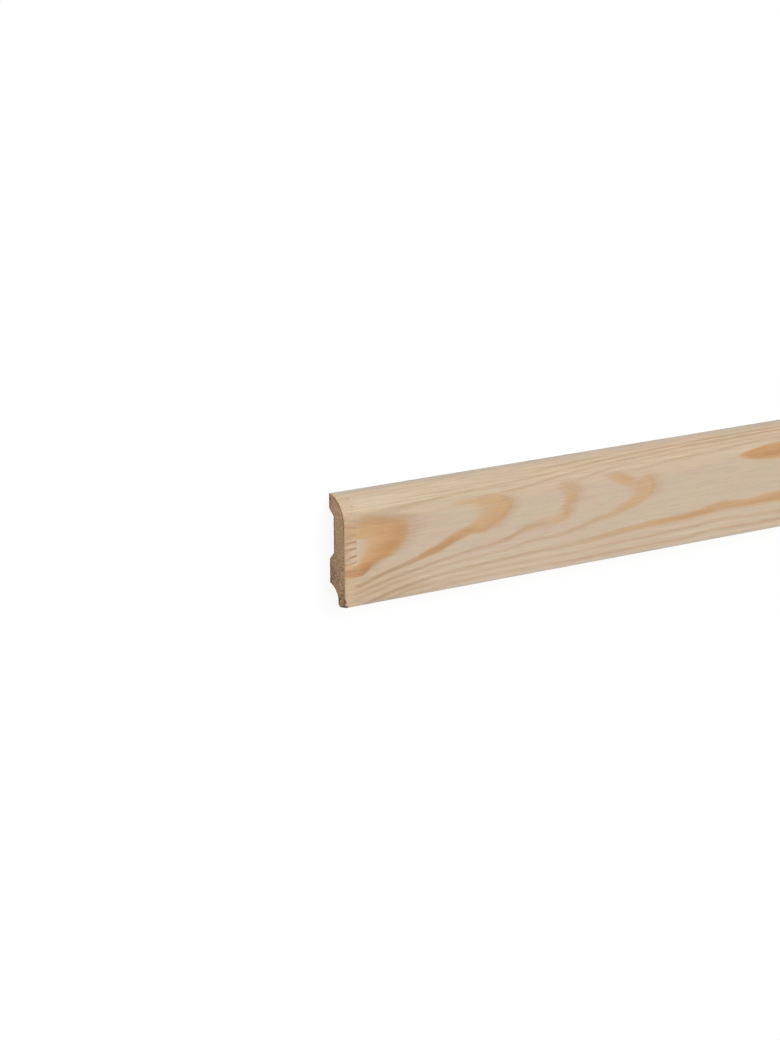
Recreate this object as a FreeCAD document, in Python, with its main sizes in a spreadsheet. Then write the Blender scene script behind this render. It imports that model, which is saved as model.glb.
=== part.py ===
import FreeCAD, Part
import Sketcher
import math
import os

# A length of pine skirting board, moulded from one piece of timber and sawn square at both
# ends. It lies on its back as it is stored: X runs along the length, Y across the face with
# the rounded top edge towards +Y, and Z up from the wall side to the show face. The origin
# is the middle of the back plane. All lengths are in millimetres.

SIZES = {
    "board_length": 2400.0,       # sawn end to sawn end
    "face_height": 56.0,          # floor edge to top edge, as the board stands at a wall
    "thickness": 12.0,            # wall side to show face
    "roundover_radius": 15.0,     # quarter round that turns the show face into the top edge
    "top_land": 0.5,              # flat left on the top edge behind the quarter round
    "upper_back_land": 7.3,       # bearing strip on the wall side, next to the top edge
    "relief_depth": 3.5,          # hollow planed out of the wall side
    "relief_slope": 45.0,         # degrees, sides of the hollow against the back plane
    "lower_back_land": 12.1,      # bearing strip between the hollow and the cove
    "cove_radius": 9.0,           # concave undercut behind the toe
    "toe_thickness": 5.4,         # toe left in front of the undercut
    "toe_height": 2.3,            # straight back of the toe, from the floor edge to the cove
    "toe_radius": 2.0,            # rounded inner corner of the toe
    "arris_radius": 0.3,          # the planed corners, lightly eased
}

# The edges of the section in the order that they are drawn, each by its number in the sketch.
(FACE, ROUNDOVER, TOP, UPPER_LAND, UPPER_SLOPE, RELIEF_FLOOR, LOWER_SLOPE, LOWER_LAND,
 COVE, TOE_BACK, TOE_ROUND, TOE_END) = range(12)
START, END = 1, 2
AXIS, ORIGIN = -1, 1


def make_sheet(doc):
    """Put the driving dimensions into a spreadsheet, one named cell each."""
    sheet = doc.addObject("Spreadsheet::Sheet", "Sizes")
    for row, (name, value) in enumerate(SIZES.items(), start=1):
        sheet.set(f"A{row}", name.replace("_", " "))
        sheet.set(f"B{row}", str(value))
        sheet.setAlias(f"B{row}", name)
    doc.recompute()
    return sheet


def section_corners(sheet):
    """Work out the corners of the section, and the centres of its arcs, in the YZ plane."""
    floor_edge = -sheet.face_height / 2
    top_edge = sheet.face_height / 2
    face = sheet.thickness
    toe_back = face - sheet.toe_thickness

    round_centre = face - sheet.roundover_radius
    round_rise = sheet.top_land - round_centre
    round_start = top_edge - math.sqrt(sheet.roundover_radius ** 2 - round_rise ** 2)

    cove_centre = toe_back - sheet.cove_radius
    cove_start = floor_edge + sheet.toe_height
    cove_end = cove_start + math.sqrt(sheet.cove_radius ** 2 - cove_centre ** 2)

    relief_top = top_edge - sheet.upper_back_land
    relief_bottom = cove_end + sheet.lower_back_land
    slope_run = sheet.relief_depth / math.tan(math.radians(sheet.relief_slope))

    return {
        "face_bottom": (floor_edge, face),
        "face_top": (round_start, face),
        "round_centre": (round_start, round_centre),
        "top_front": (top_edge, sheet.top_land),
        "top_back": (top_edge, 0.0),
        "relief_top": (relief_top, 0.0),
        "relief_floor_top": (relief_top - slope_run, sheet.relief_depth),
        "relief_floor_bottom": (relief_bottom + slope_run, sheet.relief_depth),
        "relief_bottom": (relief_bottom, 0.0),
        "cove_back": (cove_end, 0.0),
        "cove_centre": (cove_start, cove_centre),
        "cove_front": (cove_start, toe_back),
        "toe_back": (floor_edge + sheet.toe_radius, toe_back),
        "toe_centre": (floor_edge + sheet.toe_radius, toe_back + sheet.toe_radius),
        "toe_bottom": (floor_edge, toe_back + sheet.toe_radius),
    }


def line(corners, first, last):
    """A straight edge of the section between two of its corners."""
    return Part.LineSegment(FreeCAD.Vector(*corners[first]), FreeCAD.Vector(*corners[last]))


def arc(corners, centre, first, last):
    """A round edge of the section, anticlockwise about its centre."""
    middle = FreeCAD.Vector(*corners[centre])
    start = FreeCAD.Vector(*corners[first]) - middle
    end = FreeCAD.Vector(*corners[last]) - middle
    circle = Part.Circle(middle, FreeCAD.Vector(0, 0, 1), start.Length)
    return Part.ArcOfCircle(circle, math.atan2(start.y, start.x), math.atan2(end.y, end.x))


def add_outline(sketch, corners):
    """Draw the twelve edges of the section, from the floor edge round over the top."""
    sketch.addGeometry([
        line(corners, "face_bottom", "face_top"),
        arc(corners, "round_centre", "top_front", "face_top"),
        line(corners, "top_front", "top_back"),
        line(corners, "top_back", "relief_top"),
        line(corners, "relief_top", "relief_floor_top"),
        line(corners, "relief_floor_top", "relief_floor_bottom"),
        line(corners, "relief_floor_bottom", "relief_bottom"),
        line(corners, "relief_bottom", "cove_back"),
        arc(corners, "cove_centre", "cove_back", "cove_front"),
        line(corners, "cove_front", "toe_back"),
        arc(corners, "toe_centre", "toe_bottom", "toe_back"),
        line(corners, "toe_bottom", "face_bottom"),
    ], False)


def join_outline(sketch):
    """Close the outline: smooth where a cutter runs on, a plain corner elsewhere."""
    smooth = [
        (FACE, END, ROUNDOVER, END),
        (COVE, END, TOE_BACK, START),
        (TOE_BACK, END, TOE_ROUND, END),
        (TOE_ROUND, START, TOE_END, START),
    ]
    plain = [
        (ROUNDOVER, START, TOP, START),
        (TOP, END, UPPER_LAND, START),
        (UPPER_LAND, END, UPPER_SLOPE, START),
        (UPPER_SLOPE, END, RELIEF_FLOOR, START),
        (RELIEF_FLOOR, END, LOWER_SLOPE, START),
        (LOWER_SLOPE, END, LOWER_LAND, START),
        (LOWER_LAND, END, COVE, START),
        (TOE_END, END, FACE, START),
    ]
    for ends in smooth:
        sketch.addConstraint(Sketcher.Constraint("Tangent", *ends))
    for ends in plain:
        sketch.addConstraint(Sketcher.Constraint("Coincident", *ends))
    for edge in (FACE, UPPER_LAND, RELIEF_FLOOR, LOWER_LAND, TOE_BACK):
        sketch.addConstraint(Sketcher.Constraint("Horizontal", edge))
    for edge in (TOP, TOE_END):
        sketch.addConstraint(Sketcher.Constraint("Vertical", edge))
    for edge in (UPPER_LAND, LOWER_LAND):
        sketch.addConstraint(Sketcher.Constraint("PointOnObject", edge, START, AXIS))
    sketch.addConstraint(Sketcher.Constraint("Equal", UPPER_SLOPE, LOWER_SLOPE))


def drive(sketch, name, expression, kind, *where):
    """Add a dimension to the sketch at its true value and bind it to the spreadsheet."""
    value = sketch.evalExpression(expression)
    if kind == "Angle":
        value = math.radians(value)
    index = sketch.addConstraint(Sketcher.Constraint(kind, *where, value))
    sketch.renameConstraint(index, name)
    sketch.setExpression("Constraints." + name, expression)


def size_outline(sketch):
    """Bind every dimension of the section to its cell."""
    drive(sketch, "floor_side", "Sizes.face_height / 2", "DistanceX", FACE, START, AXIS, ORIGIN)
    drive(sketch, "top_side", "Sizes.face_height / 2", "DistanceX", AXIS, ORIGIN, TOP, END)
    drive(sketch, "thickness", "Sizes.thickness", "DistanceY", AXIS, ORIGIN, FACE, START)
    drive(sketch, "roundover", "Sizes.roundover_radius", "Radius", ROUNDOVER)
    drive(sketch, "top_land", "Sizes.top_land", "DistanceY", TOP, END, TOP, START)
    drive(sketch, "upper_land", "Sizes.upper_back_land", "DistanceX", UPPER_LAND, END, UPPER_LAND, START)
    drive(sketch, "relief", "Sizes.relief_depth", "DistanceY", UPPER_SLOPE, START, UPPER_SLOPE, END)
    drive(sketch, "slope", "180 - Sizes.relief_slope", "Angle", UPPER_SLOPE)
    drive(sketch, "lower_land", "Sizes.lower_back_land", "DistanceX", LOWER_LAND, END, LOWER_LAND, START)
    drive(sketch, "cove", "Sizes.cove_radius", "Radius", COVE)
    drive(sketch, "toe_thickness", "Sizes.toe_thickness", "DistanceY", TOE_BACK, START, FACE, START)
    drive(sketch, "toe_height", "Sizes.toe_height", "DistanceX", FACE, START, TOE_BACK, START)
    drive(sketch, "toe_round", "Sizes.toe_radius", "Radius", TOE_ROUND)


def long_edges(shape, corners, names):
    """Find the edges that run along the whole board through the named corners."""
    found = []
    for number, edge in enumerate(shape.Edges, start=1):
        middle = edge.CenterOfMass
        for name in names:
            corner = FreeCAD.Vector(middle.x, *corners[name])
            across = (edge.Vertexes[0].Point - edge.Vertexes[-1].Point).cross(FreeCAD.Vector(1, 0, 0))
            if middle.distanceToPoint(corner) < 1e-4 and across.Length < 1e-4:
                found.append(f"Edge{number}")
    if len(found) != len(names):
        raise RuntimeError(f"expected {len(names)} long edges and found {len(found)}")
    return found


def make_board(doc, sheet):
    """The board: its moulded section, run out to the stock length, with eased corners."""
    body = doc.addObject("PartDesign::Body", "SkirtingBoard")
    body.Label = "skirting_board"
    corners = section_corners(sheet)

    section = body.newObject("Sketcher::SketchObject", "Section")
    cross_plane = next(plane for plane in body.Origin.OriginFeatures if plane.Role == "YZ_Plane")
    section.AttachmentSupport = [(cross_plane, "")]
    section.MapMode = "FlatFace"
    add_outline(section, corners)
    join_outline(section)
    size_outline(section)
    doc.recompute()
    if not section.FullyConstrained:
        raise RuntimeError("the section has a loose dimension")

    length = body.newObject("PartDesign::Pad", "Length")
    length.Profile = section
    length.SideType = "Symmetric"
    length.setExpression("Length", "Sizes.board_length")
    doc.recompute()

    arrises = body.newObject("PartDesign::Fillet", "Arrises")
    eased = ("face_bottom", "relief_top", "relief_bottom", "cove_back")
    arrises.Base = (length, long_edges(length.Shape, corners, eased))
    arrises.setExpression("Radius", "Sizes.arris_radius")
    doc.recompute()
    return body


def check(doc, bodies):
    """Stop if anything in the document failed, or a piece isn't one sound solid."""
    for item in doc.Objects:
        if "Invalid" in item.State or "Error" in item.State:
            raise RuntimeError(f"{item.Label} failed: {item.State}")
    for body in bodies:
        shape = body.Shape
        if shape.isNull() or not shape.isValid() or len(shape.Solids) != 1:
            raise RuntimeError(f"{body.Label} is not one valid solid")


def main():
    doc = FreeCAD.newDocument("SkirtingBoard")
    sheet = make_sheet(doc)
    board = make_board(doc, sheet)
    check(doc, [board])
    os.makedirs("parts", exist_ok=True)
    board.Shape.exportStep(f"parts/{board.Label}.step")
    box = board.Shape.BoundBox
    print(f"{board.Label}: {box.XLength:.2f} x {box.YLength:.2f} x {box.ZLength:.2f} mm")
    print(f"section {board.Shape.Volume / sheet.board_length:.2f} mm2, Z from {box.ZMin:.3f}")


main()
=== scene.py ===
import math
from collections import namedtuple

import bpy
import numpy as np
from mathutils import Matrix, Vector


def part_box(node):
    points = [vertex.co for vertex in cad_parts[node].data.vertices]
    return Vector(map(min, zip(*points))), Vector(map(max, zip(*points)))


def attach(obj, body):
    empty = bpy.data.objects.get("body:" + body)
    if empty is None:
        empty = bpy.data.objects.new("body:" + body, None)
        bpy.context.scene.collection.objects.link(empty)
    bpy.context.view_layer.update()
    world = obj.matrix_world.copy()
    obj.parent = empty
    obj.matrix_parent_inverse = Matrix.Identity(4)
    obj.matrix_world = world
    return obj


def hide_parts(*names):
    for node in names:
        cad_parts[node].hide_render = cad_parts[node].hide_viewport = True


# A length of pine skirting board, lying on its back with the show face up. X runs along the
# board, Y up the face towards the rounded top edge and Z out of the back plane. The mesh and
# the finish are worked out in millimetres and turned into metres at the end.

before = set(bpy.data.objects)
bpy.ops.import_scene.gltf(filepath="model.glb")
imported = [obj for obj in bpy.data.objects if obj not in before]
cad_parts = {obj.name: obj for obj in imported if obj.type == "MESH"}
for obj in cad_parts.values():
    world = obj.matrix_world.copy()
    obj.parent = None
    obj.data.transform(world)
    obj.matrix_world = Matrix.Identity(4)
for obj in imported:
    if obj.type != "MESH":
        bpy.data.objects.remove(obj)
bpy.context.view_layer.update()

MM = 0.001
NODE = "skirting_board"
LOW, HIGH = (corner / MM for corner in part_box(NODE))

# The moulded section, in the names and sizes of the solid that the board replaces.
SIZE = HIGH - LOW
LENGTH, THICKNESS = SIZE.x, SIZE.z
FLOOR_EDGE, TOP_EDGE = LOW.y, HIGH.y
ROUNDOVER_RADIUS = 15.0
TOP_LAND = 0.5
UPPER_BACK_LAND = 7.3
RELIEF_DEPTH = 3.5
RELIEF_SLOPE = 45.0
LOWER_BACK_LAND = 12.1
COVE_RADIUS = 9.0
TOE_THICKNESS = 5.4
TOE_HEIGHT = 2.3
TOE_RADIUS = 2.0
ARRIS_RADIUS = 0.3

# The quarter round's centre, from which the finish also measures its way over the top edge.
ROUND_Z = THICKNESS - ROUNDOVER_RADIUS
ROUND_Y = TOP_EDGE - math.sqrt(ROUNDOVER_RADIUS ** 2 - (TOP_LAND - ROUND_Z) ** 2)
FLAT_HEIGHT = ROUND_Y - FLOOR_EDGE

# How finely the mesh follows the section and the length. Points of the section that are nearer
# to each other than SAME_PLACE share a column, and corners turned further than CRISP_ANGLE, in
# degrees, stay crisp.
ROUNDOVER_PARTS, COVE_PARTS, TOE_PARTS, ARRIS_PARTS = 26, 18, 10, 5
COLUMN_STEP = 0.7
SAME_PLACE = 0.004
ROWS = 8
END_STATIONS = (0.0, 0.25, 0.6, 1.1, 1.8, 3.0, 5.0, 8.0, 12.0, 18.0, 27.0)
STATION_STEP = 20.0
CRISP_ANGLE = 28.0
PLANED_SLOT, SAWN_SLOT = 0, 1

# The map for a bake of the finish, as shares of its side: the board's sides in three strips one
# above the other, and its two ends in the band that is left at the top.
MAP_NAME = "OFBake"
STRIPS = 3
STRIP_PITCH = 0.305
STRIP_MARGIN = 0.003
STRIP_HEIGHT = 0.298
END_SCALE = 0.0052
END_BASE = 0.925
END_PLACE = {"left": 0.02, "right": 0.52}

# The sawn ends: how far the saw's ripple and the torn corner fibres lie inside the length, how
# far along the sides that is felt, and a chip at the foot of the left end.
RIPPLE_DEPTH = 0.05
RAGGED_DEPTH = 0.16
RIPPLE_SEED = {"left": 0.4, "right": 2.1}
END_REACH = 8.0
CHIP_PLACE = (-28.0, 11.0)
CHIP_RADIUS = 0.8
CHIP_DEPTH = 0.9

# The photograph's view: where the camera stands, in metres from the middle of the left end's back
# edge, and its turns in degrees from looking straight down on the face.
CAMERA_FROM_END = Vector((-0.99917, 0.37719, 1.35804))
CAMERA_TURN = 37.36
CAMERA_DROP = 12.15
CAMERA_ROLL = -0.61
LENS = 121.26
SENSOR = 36.0
SIGHT = 100.0

# The studio: a white floor, a white surround and one broad, distant soft light. The rest of the
# floor's whiteness is plain paint, which takes the board's faint shadow.
FLOOR_SIZE = 60.0
FLOOR_PAINT = (0.9, 0.9, 0.9, 1.0)
FLOOR_GLOW = 1.03
FLOOR_WHITENESS = 0.86
SURROUND_LIGHT = 0.6
KEY_SIDE = (0.45, 0.42, 1.0)
KEY_STRENGTH = 1.4
KEY_SPREAD = 50.0


def arc(centre, radius, start, end, parts):
    """Points along an arc, from one angle to another in degrees."""
    turns = np.radians(np.linspace(start, end, parts + 1))
    return [(centre[0] + radius * math.cos(t), centre[1] + radius * math.sin(t)) for t in turns]


def front_outline():
    """The show side of the section, from the floor edge over the quarter round."""
    eased = ARRIS_RADIUS
    end_angle = math.degrees(math.asin((TOP_LAND - ROUND_Z) / ROUNDOVER_RADIUS))
    return [
        *arc((FLOOR_EDGE + eased, THICKNESS - eased), eased, 180, 90, ARRIS_PARTS),
        *arc((ROUND_Y, ROUND_Z), ROUNDOVER_RADIUS, 90, end_angle, ROUNDOVER_PARTS),
    ]


def back_outline():
    """The wall side of the section, from the toe round the cove and across the relief."""
    eased = ARRIS_RADIUS
    toe_back = THICKNESS - TOE_THICKNESS
    cove = (FLOOR_EDGE + TOE_HEIGHT, toe_back - COVE_RADIUS)
    cove_end = cove[0] + math.sqrt(COVE_RADIUS ** 2 - cove[1] ** 2)
    eased_y = cove[0] + math.sqrt((COVE_RADIUS + eased) ** 2 - (eased - cove[1]) ** 2)
    eased_angle = math.degrees(math.asin((eased - cove[1]) / (COVE_RADIUS + eased)))
    slope = math.radians(RELIEF_SLOPE)
    eased_run, slope_run = eased * math.tan(slope / 2), RELIEF_DEPTH / math.tan(slope)
    relief_low = cove_end + LOWER_BACK_LAND
    relief_high = TOP_EDGE - UPPER_BACK_LAND
    return [
        *arc((FLOOR_EDGE + TOE_RADIUS, toe_back + TOE_RADIUS), TOE_RADIUS, 180, 270, TOE_PARTS),
        *arc(cove, COVE_RADIUS, 90, eased_angle, COVE_PARTS),
        *arc((eased_y, eased), eased, 180 + eased_angle, 270, ARRIS_PARTS),
        *arc((relief_low - eased_run, eased), eased, 270, 270 + RELIEF_SLOPE, ARRIS_PARTS),
        (relief_low + slope_run, RELIEF_DEPTH),
        (relief_high - slope_run, RELIEF_DEPTH),
        *arc((relief_high + eased_run, eased), eased, 270 - RELIEF_SLOPE, 270, ARRIS_PARTS),
        (TOP_EDGE, 0.0),
    ]


def column_places(front, back):
    """Where the section is cut into columns: at each point of both outlines and in between."""
    marks = sorted({round(point[0], 4) for point in front + back})
    places = [marks[0]]
    for mark in marks[1:]:
        gap = mark - places[-1]
        if gap < SAME_PLACE:
            continue
        parts = max(1, round(gap / COLUMN_STEP))
        places.extend(np.linspace(places[-1], mark, parts + 1)[1:])
    return np.array(places)


def section_grid():
    """The section as a grid of points: columns from floor edge to top, rows from back to face."""
    front, back = front_outline(), back_outline()
    places = column_places(front, back)
    top = np.interp(places, *zip(*front))
    bottom = np.interp(places, *zip(*back))
    share = np.linspace(0.0, 1.0, ROWS + 1)
    y = np.repeat(places[:, None], ROWS + 1, axis=1)
    z = bottom[:, None] + (top - bottom)[:, None] * share
    return y, z


def outline_walk(columns):
    """Grid places round the section: along the back, up the top edge, down the face, in."""
    last_row, last_column = ROWS, columns - 1
    return (
        [(column, 0) for column in range(columns)]
        + [(last_column, row) for row in range(1, last_row)]
        + [(column, last_row) for column in range(last_column, -1, -1)]
        + [(0, row) for row in range(last_row - 1, 0, -1)]
    )


def station_places():
    """Where the length is cut: closely towards the sawn ends and evenly between."""
    half = LENGTH / 2
    left = [-half + step for step in END_STATIONS]
    middle = np.arange(-half + 2 * STATION_STEP, half - STATION_STEP, STATION_STEP)
    right = [half - step for step in reversed(END_STATIONS)]
    return np.array([*left, *middle, *right])


def rim_share(columns):
    """1 on the outline of the grid and 0 inside it."""
    rim = np.zeros((columns, ROWS + 1))
    rim[0, :] = rim[-1, :] = 1.0
    rim[:, 0] = rim[:, -1] = 1.0
    return rim


def end_depths(y, z, end):
    """How far each grid point of a sawn end lies inside the length: ripple, torn rim and chip."""
    seed = RIPPLE_SEED[end]
    wave = np.sin(y * 3.1 + seed) * np.sin(y * 1.27 + 2 * seed + 0.35 * z) + 1.0
    fray = np.sin(y * 5.3 + z * 4.1 + seed) * np.sin(y * 2.2 - z * 6.7 + 3 * seed)
    torn = RAGGED_DEPTH * np.clip(fray, 0.0, 1.0) ** 2
    depth = RIPPLE_DEPTH * wave + torn * rim_share(len(y))
    if end == "left":
        away = ((y - CHIP_PLACE[0]) ** 2 + (z - CHIP_PLACE[1]) ** 2) / CHIP_RADIUS ** 2
        depth = depth + CHIP_DEPTH * np.exp(-away)
    return depth


class Shell:
    """The board's vertices and faces, with each face's slot and what the map must know of it."""

    def __init__(self):
        self.vertices, self.faces, self.slots, self.corners = [], [], [], []
        self.y, self.z = section_grid()
        self.columns = len(self.y)
        self.walk = outline_walk(self.columns)
        self.stations = station_places()
        self.depths = {end: end_depths(self.y, self.z, end) for end in ("left", "right")}
        self.add_rounds()
        self.add_sides()
        self.add_end("left", 0)
        self.add_end("right", (len(self.stations) - 1) * len(self.walk))

    def walked(self, grid):
        """The grid's values in the order of the walk round the section."""
        return np.array([grid[spot] for spot in self.walk])

    def add_rounds(self):
        """A round of vertices at each station, as uneven as the sawn ends where they are near."""
        y, z = self.walked(self.y), self.walked(self.z)
        left, right = self.walked(self.depths["left"]), self.walked(self.depths["right"])
        for x in self.stations:
            near_left = max(0.0, 1.0 - (x + LENGTH / 2) / END_REACH) ** 2
            near_right = max(0.0, 1.0 - (LENGTH / 2 - x) / END_REACH) ** 2
            self.vertices.extend(zip(x + left * near_left - right * near_right, y, z))

    def add_sides(self):
        """The faces from each round to the next."""
        y, z = self.walked(self.y), self.walked(self.z)
        run = np.hypot(np.diff(np.append(y, y[0])), np.diff(np.append(z, z[0])))
        share = np.append(0.0, np.cumsum(run)) / run.sum()
        around = len(self.walk)
        for station in range(len(self.stations) - 1):
            here, there = station * around, (station + 1) * around
            for step in range(around):
                after = (step + 1) % around
                self.faces.append((here + step, here + after, there + after, there + step))
                self.slots.append(PLANED_SLOT)
                self.corners.append([
                    ("side", station, share[step]), ("side", station, share[step + 1]),
                    ("side", station + 1, share[step + 1]), ("side", station + 1, share[step]),
                ])

    def add_end(self, end, first):
        """The inner vertices and the faces of a sawn end, whose round begins at this number."""
        number = {spot: first + index for index, spot in enumerate(self.walk)}
        for column in range(1, self.columns - 1):
            for row in range(1, ROWS):
                inside = self.depths[end][column, row]
                x = -LENGTH / 2 + inside if end == "left" else LENGTH / 2 - inside
                number[column, row] = len(self.vertices)
                self.vertices.append((x, self.y[column, row], self.z[column, row]))
        for column in range(self.columns - 1):
            for row in range(ROWS):
                spots = [(column, row), (column, row + 1), (column + 1, row + 1), (column + 1, row)]
                if end == "right":
                    spots.reverse()
                self.faces.append(tuple(number[spot] for spot in spots))
                self.slots.append(SAWN_SLOT)
                self.corners.append([(end, self.y[spot], self.z[spot]) for spot in spots])


def map_corner(kind, first, second, stations, strip):
    """Where one corner of a face lies on the map."""
    if kind == "side":
        strip_length = LENGTH / STRIPS
        u = (stations[first] + LENGTH / 2 - strip * strip_length) / strip_length
        return u, strip * STRIP_PITCH + STRIP_MARGIN + second * STRIP_HEIGHT
    return END_PLACE[kind] + (first - FLOOR_EDGE) * END_SCALE, END_BASE + second * END_SCALE


def lay_map(mesh, corners, stations):
    """Give the mesh its map, face by face."""
    layer = mesh.uv_layers.new(name=MAP_NAME)
    places = []
    for face in corners:
        strip = 0
        if face[0][0] == "side":
            middle = (stations[face[0][1]] + stations[face[2][1]]) / 2
            strip = int((middle + LENGTH / 2) / (LENGTH / STRIPS))
        for kind, first, second in face:
            places.extend(map_corner(kind, first, second, stations, strip))
    layer.data.foreach_set("uv", places)


def make_board():
    """The board as one closed mesh, with soft arcs and crisp corners."""
    shell = Shell()
    places = [tuple(MM * part for part in vertex) for vertex in shell.vertices]
    mesh = bpy.data.meshes.new("pine_skirting_board")
    mesh.from_pydata(places, [], shell.faces)
    mesh.polygons.foreach_set("material_index", shell.slots)
    lay_map(mesh, shell.corners, shell.stations)
    mesh.polygons.foreach_set("use_smooth", [True] * len(mesh.polygons))
    mesh.set_sharp_from_angle(angle=math.radians(CRISP_ANGLE))
    mesh.update()
    board = bpy.data.objects.new("pine_skirting_board", mesh)
    bpy.context.collection.objects.link(board)
    return board


# The least height of a curve, how glossy the wood is and how strongly its bumps show.
NOT_FLAT = 1e-6
WOOD_SHEEN = 0.25
BUMP_STRENGTH = 0.5


class Finish:
    """The nodes of a material or world, with short calls for the sums that they are made of."""

    def __init__(self, owner):
        owner.use_nodes = True
        self.owner = owner
        self.tree = owner.node_tree
        self.tree.nodes.clear()

    def node(self, kind, **settings):
        made = self.tree.nodes.new("ShaderNode" + kind)
        for name, value in settings.items():
            setattr(made, name, value)
        return made

    def feed(self, socket, value):
        """Link a socket to another one, or set it to a plain value."""
        if isinstance(value, bpy.types.NodeSocket):
            self.tree.links.new(value, socket)
        else:
            socket.default_value = value

    def sum(self, operation, *values):
        made = self.node("Math", operation=operation)
        for socket, value in zip(made.inputs, values):
            self.feed(socket, value)
        return made.outputs[0]

    def add(self, first, second):
        return self.sum("ADD", first, second)

    def less(self, first, second):
        return self.sum("SUBTRACT", first, second)

    def over(self, first, second):
        return self.sum("DIVIDE", first, second)

    def times(self, *values):
        product = values[0]
        for value in values[1:]:
            product = self.sum("MULTIPLY", product, value)
        return product

    def most(self, values):
        """The largest of several values."""
        best = values[0]
        for value in values[1:]:
            best = self.sum("MAXIMUM", best, value)
        return best

    def away(self, *steps):
        """How far off a point is, by its steps along the axes."""
        total = self.times(steps[0], steps[0])
        for step in steps[1:]:
            total = self.add(total, self.times(step, step))
        return self.sum("SQRT", total)

    def ease(self, value, low, high, start=0.0, end=1.0, kind="SMOOTHSTEP"):
        """From start to end while the value goes from low to high, and level outside."""
        made = self.node("MapRange", interpolation_type=kind, clamp=True)
        for name, number in (("Value", value), ("From Min", low), ("From Max", high),
                             ("To Min", start), ("To Max", end)):
            self.feed(made.inputs[name], number)
        return made.outputs["Result"]

    def spread(self, noise, start, end, low=0.3, high=0.7):
        """Evenly from start to end over the range in which noise mostly lies."""
        return self.ease(noise, low, high, start, end, kind="LINEAR")

    def curve(self, value, points):
        """A smooth line through given (value, result) points, level beyond its ends."""
        across, up = zip(*points)
        left, right, bottom, top = min(across), max(across), min(up), max(up) + NOT_FLAT
        made = self.node("FloatCurve")
        line = made.mapping.curves[0]
        placed = [((x - left) / (right - left), (y - bottom) / (top - bottom)) for x, y in points]
        line.points[0].location = placed[0]
        line.points[1].location = placed[-1]
        for spot in placed[1:-1]:
            line.points.new(*spot)
        made.mapping.update()
        self.feed(made.inputs["Value"], self.ease(value, left, right, kind="LINEAR"))
        return self.ease(made.outputs[0], 0.0, 1.0, bottom, top, kind="LINEAR")

    def look_up(self, value, amount):
        """A plain number as it is, or a curve where the amount is given by points."""
        return self.curve(value, amount) if isinstance(amount, tuple) else amount

    def place(self):
        """X, Y and Z in the board's own frame, in millimetres."""
        spot = self.node("TexCoord").outputs["Object"]
        scaled = self.node("VectorMath", operation="SCALE")
        self.feed(scaled.inputs[0], spot)
        scaled.inputs["Scale"].default_value = 1 / MM
        split = self.node("SeparateXYZ")
        self.feed(split.inputs[0], scaled.outputs[0])
        return split.outputs

    def vector(self, *values):
        made = self.node("CombineXYZ")
        for socket, value in zip(made.inputs, values):
            self.feed(socket, value)
        return made.outputs[0]

    def noise(self, sizes, place, detail=2.0, shift=0.0):
        """Soft noise from 0 to 1 whose blotches have these sizes along X, Y and Z, in mm."""
        stretched = [self.over(part, size) for part, size in zip(place, sizes)]
        stretched[0] = self.add(stretched[0], shift)
        made = self.node("TexNoise")
        made.inputs["Scale"].default_value = 1.0
        made.inputs["Detail"].default_value = detail
        self.feed(made.inputs["Vector"], self.vector(*stretched))
        return made.outputs["Fac"]

    def sway(self, sizes, place, reach, detail=2.0, shift=0.0):
        """Noise that swings by this much to either side of zero."""
        return self.times(self.less(self.noise(sizes, place, detail, shift), 0.5), 2 * reach)

    def tint(self, share, first, second, blend="MIX"):
        """The second colour laid over the first by a share."""
        made = self.node("Mix", data_type="RGBA", blend_type=blend)
        for socket, value in zip((made.inputs[0], made.inputs[6], made.inputs[7]),
                                 (share, first, second)):
            self.feed(socket, value)
        return made.outputs[2]

    def shades(self, value, stops):
        """A colour for each value, through (value, colour) stops from 0 to 1."""
        made = self.node("ValToRGB")
        self.feed(made.inputs[0], value)
        elements = made.color_ramp.elements
        elements[0].color, elements[1].color = stops[0][1], stops[-1][1]
        for spot, colour in stops[1:-1]:
            elements.new(spot).color = colour
        return made.outputs[0]

    def end_in(self, kind, surface):
        """End the tree in its output, and give back what the tree belongs to."""
        self.feed(self.node(kind).inputs["Surface"], surface)
        return self.owner

    def wood(self, colour, roughness, height):
        """End the tree in a dull wood surface, its bumps given in mm."""
        shader = self.node("BsdfPrincipled")
        shader.inputs["Specular IOR Level"].default_value = WOOD_SHEEN
        self.feed(shader.inputs["Base Color"], colour)
        self.feed(shader.inputs["Roughness"], roughness)
        bump = self.node("Bump")
        bump.inputs["Strength"].default_value = BUMP_STRENGTH
        bump.inputs["Distance"].default_value = MM
        self.feed(bump.inputs["Height"], height)
        self.feed(shader.inputs["Normal"], bump.outputs[0])
        return self.end_in("OutputMaterial", shader.outputs[0])


def rgb(red, green, blue):
    """A colour as it is seen, 0 to 255, as the linear one that nodes take."""
    parts = [channel / 255 for channel in (red, green, blue)]
    return [*(c / 12.92 if c <= 0.04045 else ((c + 0.055) / 1.055) ** 2.4 for c in parts), 1.0]


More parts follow.
